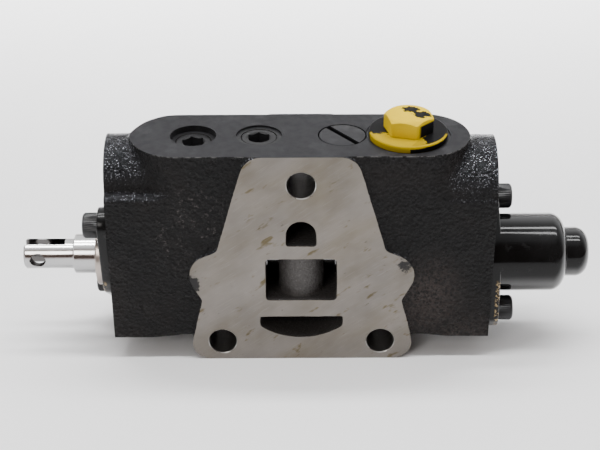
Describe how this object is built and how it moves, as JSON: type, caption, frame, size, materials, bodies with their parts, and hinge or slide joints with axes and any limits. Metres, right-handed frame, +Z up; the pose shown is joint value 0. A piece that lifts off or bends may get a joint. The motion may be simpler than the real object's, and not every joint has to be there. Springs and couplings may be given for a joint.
{
  "type": "hydraulic monoblock valve",
  "caption": "Manual spool valve in a one-piece iron casting: forked spool, spring cap, load check, plugged work ports and a three-hole mounting face with gallery ports.",
  "frame": {"origin": "on the mounting face, midway between the two lower bolt holes", "axes": "+X along the spool towards the spring cap, +Y from the mounting face into the casting, +Z up towards the work ports"},
  "size_m": [0.2259, 0.038, 0.1001],
  "materials": {
    "painted_iron": "black paint over rough cast skin, bare grey ground mounting face, satin machined top",
    "ground_steel": "ground and polished",
    "plain_steel": "turned, satin",
    "spring_steel": "drawn wire",
    "black_steel": "black oxide, satin",
    "gloss_black": "gloss black paint",
    "plug_steel": "black painted steel, satin",
    "seal_rubber": "matte",
    "copper": "soft copper washer",
    "yellow_plastic": "moulded plastic with black overspray"
  },
  "bodies": {
    "housing": {"valve_body": "painted_iron", "left_spool_seal": "seal_rubber", "right_spool_seal": "seal_rubber", "right_seal_washer": "plain_steel", "wiper_ring": "seal_rubber", "seal_retainer": "plain_steel", "left_flange": "gloss_black", "left_flange_screws": "black_steel", "spring_cap": "gloss_black", "spring_cap_o_ring": "seal_rubber", "spring_cap_screws": "black_steel", "port_plug": "plug_steel", "port_plug_washer": "copper", "gallery_plug": "plug_steel", "gallery_plug_washer": "copper", "check_plug": "plug_steel", "check_plug_o_ring": "seal_rubber", "check_spring": "spring_steel", "left_boss_plug": "plug_steel", "left_boss_washer": "copper", "right_boss_plug": "plug_steel", "right_boss_washer": "copper"},
    "spool_pack": {"spool": "ground_steel", "spool_end_screw": "black_steel", "inner_spring_seat": "plain_steel", "outer_spring_seat": "plain_steel", "centring_spring": "spring_steel"},
    "check_valve": {"check_poppet": "ground_steel"},
    "port_closure": {"transport_plug": "yellow_plastic", "transport_plug_o_ring": "seal_rubber"}
  },
  "joints": [
    {"name": "spool_slide", "type": "slide", "parent": "housing", "child": "spool_pack", "axis": [1, 0, 0], "range_m": [-0.006, 0.006], "stiffness_N_per_m": 8000},
    {"name": "check_lift", "type": "slide", "parent": "housing", "child": "check_valve", "axis": [0, 0, 1], "range_m": [0, 0.003], "stiffness_N_per_m": 400, "deforming": ["check_spring"]},
    {"name": "transport_plug_lift", "type": "slide", "parent": "housing", "child": "port_closure", "axis": [0, 0, 1], "range_m": [0, 0.02]}
  ]
}
